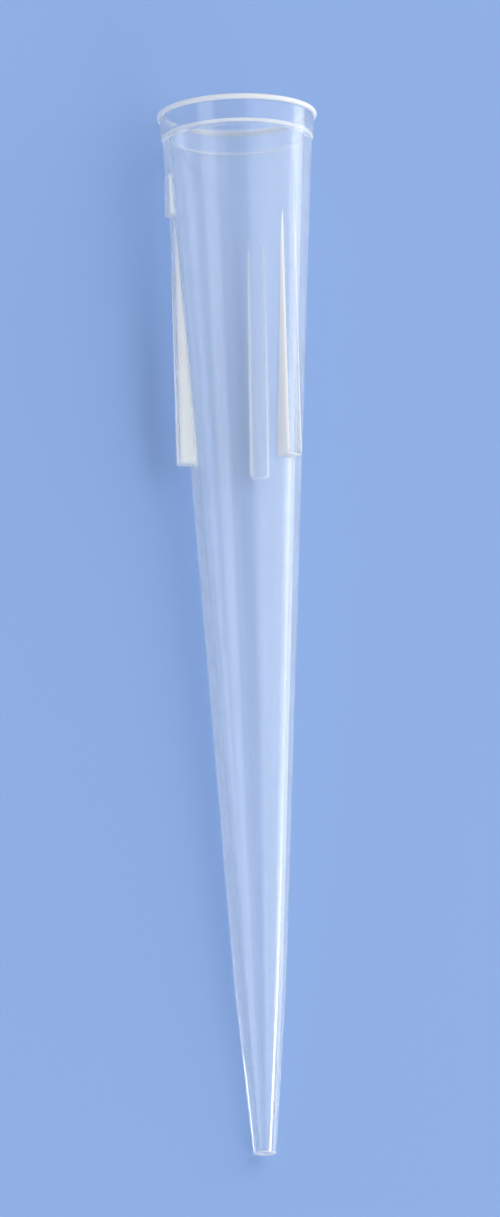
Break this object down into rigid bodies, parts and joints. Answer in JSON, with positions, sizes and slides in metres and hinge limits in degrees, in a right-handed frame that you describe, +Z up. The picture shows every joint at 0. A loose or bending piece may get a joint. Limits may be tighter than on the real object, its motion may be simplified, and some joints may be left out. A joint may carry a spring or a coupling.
{
  "type": "pipette tip",
  "caption": "Slender conical tube of clear milky plastic, open at a flanged mouth and at a fine point, with fins below the mouth; pushes onto a hand pipette to draw up and hold liquid.",
  "frame": {"origin": "on the table, under the centre of the lying tip's outline", "axes": "+Y along the lying tip from the point to the mouth, +Z up from the table, +X across"},
  "size_m": [0.0076, 0.0502, 0.0075],
  "materials": {
    "polypropylene": "natural translucent polypropylene, as moulded"
  },
  "bodies": {
    "root": {"tip": "polypropylene"}
  },
  "joints": []
}
